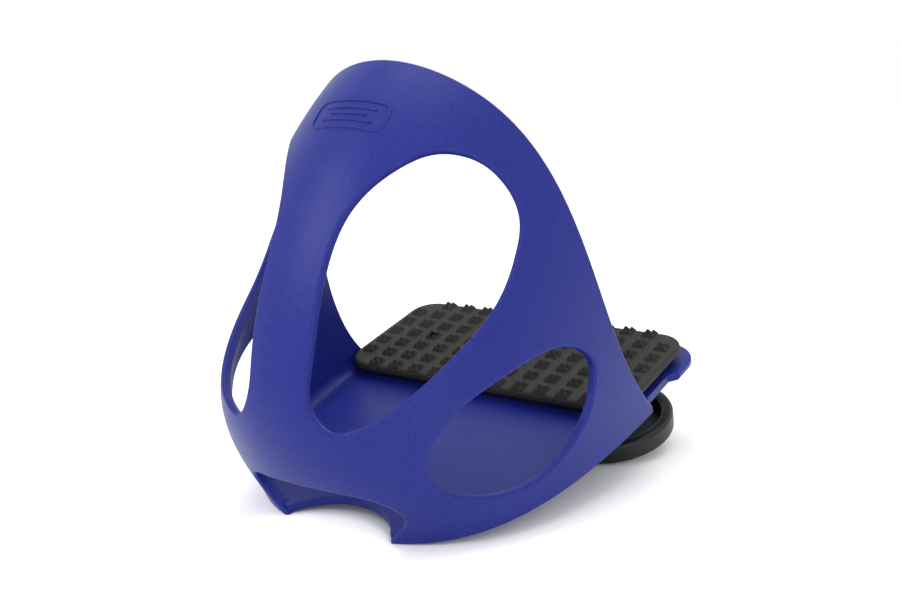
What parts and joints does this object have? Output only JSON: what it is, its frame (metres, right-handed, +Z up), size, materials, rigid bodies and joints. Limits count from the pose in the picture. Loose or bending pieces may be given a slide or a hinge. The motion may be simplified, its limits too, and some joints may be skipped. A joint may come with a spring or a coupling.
{
  "type": "stirrup toe cage",
  "caption": "Moulded toe cage that clamps on a riding stirrup's tread, with a studded rubber pad and screwed clamp discs below.",
  "frame": {"origin": "middle of the bounding box on the surface that the cage stands on, nose down", "axes": "+X to the rider's right of the toe cage, -Y out of the toe, +Z up from the surface"},
  "size_m": [0.1262, 0.167, 0.1434],
  "materials": {
    "cage_plastic": "satin blue with a fine moulded grain",
    "pad_rubber": "matt black",
    "disc_plastic": "satin black",
    "screw_steel": "zinc plated"
  },
  "bodies": {
    "cage": {"cage_shell": "cage_plastic", "tread_pad": "pad_rubber", "screw_washer_right": "screw_steel", "screw_washer_left": "screw_steel"},
    "disc_right": {"clamp_disc_right": "disc_plastic", "captive_nut_right": "screw_steel"},
    "screw_right": {"clamp_screw_right": "screw_steel"},
    "disc_left": {"clamp_disc_left": "disc_plastic", "captive_nut_left": "screw_steel"},
    "screw_left": {"clamp_screw_left": "screw_steel"}
  },
  "joints": [
    {"name": "disc_slide_right", "type": "slide", "parent": "cage", "child": "disc_right", "axis": [0, -0.2121, 0.9773], "range_m": [-0.004, 0.008]},
    {"name": "screw_spin_right", "type": "hinge", "parent": "cage", "child": "screw_right", "pos_m": [0.036, 0.05059, 0.02755], "axis": [0, -0.2121, 0.9773], "range_deg": [-3601, 1801]},
    {"name": "disc_slide_left", "type": "slide", "parent": "cage", "child": "disc_left", "axis": [0, -0.2121, 0.9773], "range_m": [-0.004, 0.008]},
    {"name": "screw_spin_left", "type": "hinge", "parent": "cage", "child": "screw_left", "pos_m": [-0.036, 0.05059, 0.02755], "axis": [0, -0.2121, 0.9773], "range_deg": [-3601, 1801]}
  ],
  "couplings": [
    {"joint": "screw_spin_right", "follows": "disc_slide_right", "rad_per_m": -7854},
    {"joint": "screw_spin_left", "follows": "disc_slide_left", "rad_per_m": -7854}
  ]
}
